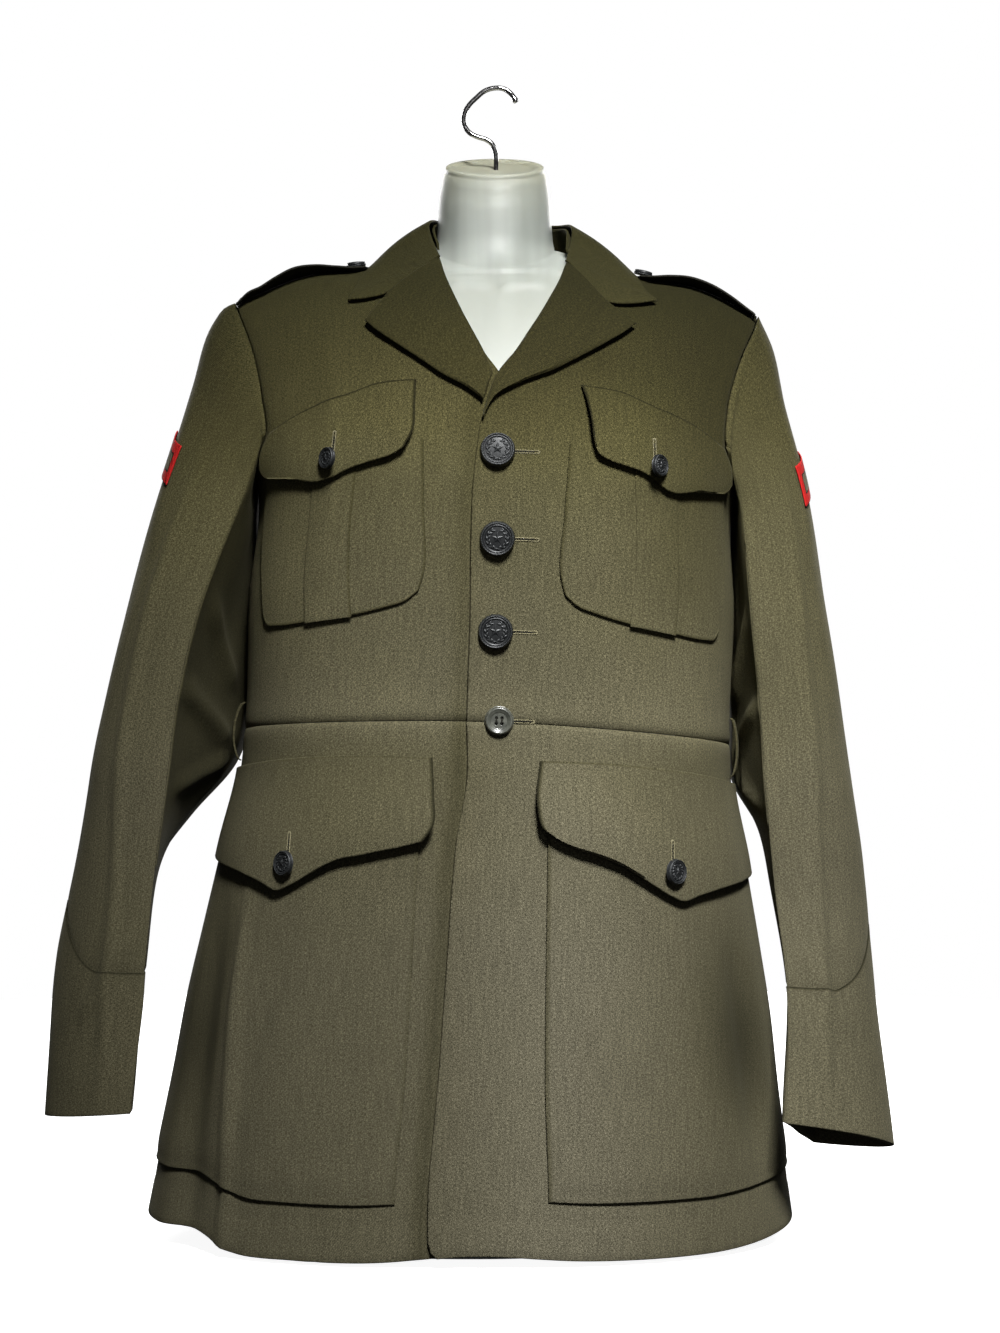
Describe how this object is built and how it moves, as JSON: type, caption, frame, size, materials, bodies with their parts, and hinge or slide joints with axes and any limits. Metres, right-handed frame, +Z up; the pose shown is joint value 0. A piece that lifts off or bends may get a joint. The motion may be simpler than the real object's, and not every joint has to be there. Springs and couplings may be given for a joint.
{
  "type": "military dress tunic on a limbless dress form",
  "caption": "Single-breasted dress tunic with pleated patch pockets, shoulder straps and pointed cuffs, shown on a moulded limbless dress form with a hook",
  "frame": {"origin": "centre of the dress form's flat base", "axes": "+Z up along the form, -Y out of the coat's front, +X to the wearer's left"},
  "size_m": [0.6847, 0.2833, 0.934],
  "materials": {
    "cloth": "olive-drab wool gabardine, fine twill with a soft sheen",
    "badge": "felt chevron with a bright red stitched border and an olive middle",
    "button": "dark bronzed and lacquered metal, half shiny",
    "form": "milky translucent moulded plastic, glossy",
    "wire": "bright plated wire"
  },
  "bodies": {
    "root": {"back_left": "cloth", "back_right": "cloth", "belt_loop_left": "cloth", "belt_loop_right": "cloth", "chest_front_left": "cloth", "chest_front_right": "cloth", "chevron_left": "badge", "chevron_right": "badge", "collar_fall": "cloth", "collar_stand": "cloth", "cuff_left": "cloth", "cuff_right": "cloth", "epaulette_button_left": "button", "epaulette_button_right": "button", "epaulette_left": "cloth", "epaulette_right": "cloth", "form_hook": "wire", "form_torso": "form", "front_button_1": "button", "front_button_2": "button", "front_button_3": "button", "lapel_left": "cloth", "lapel_right": "cloth", "lower_flap_button_left": "button", "lower_flap_button_right": "button", "lower_flap_left": "cloth", "lower_flap_right": "cloth", "lower_pocket_left": "cloth", "lower_pocket_right": "cloth", "skirt_front_left": "cloth", "skirt_front_right": "cloth", "sleeve_top_left": "cloth", "sleeve_top_right": "cloth", "sleeve_under_left": "cloth", "sleeve_under_right": "cloth", "upper_flap_button_left": "button", "upper_flap_button_right": "button", "upper_flap_left": "cloth", "upper_flap_right": "cloth", "upper_pocket_left": "cloth", "upper_pocket_right": "cloth", "waist_button": "button"}
  },
  "joints": []
}
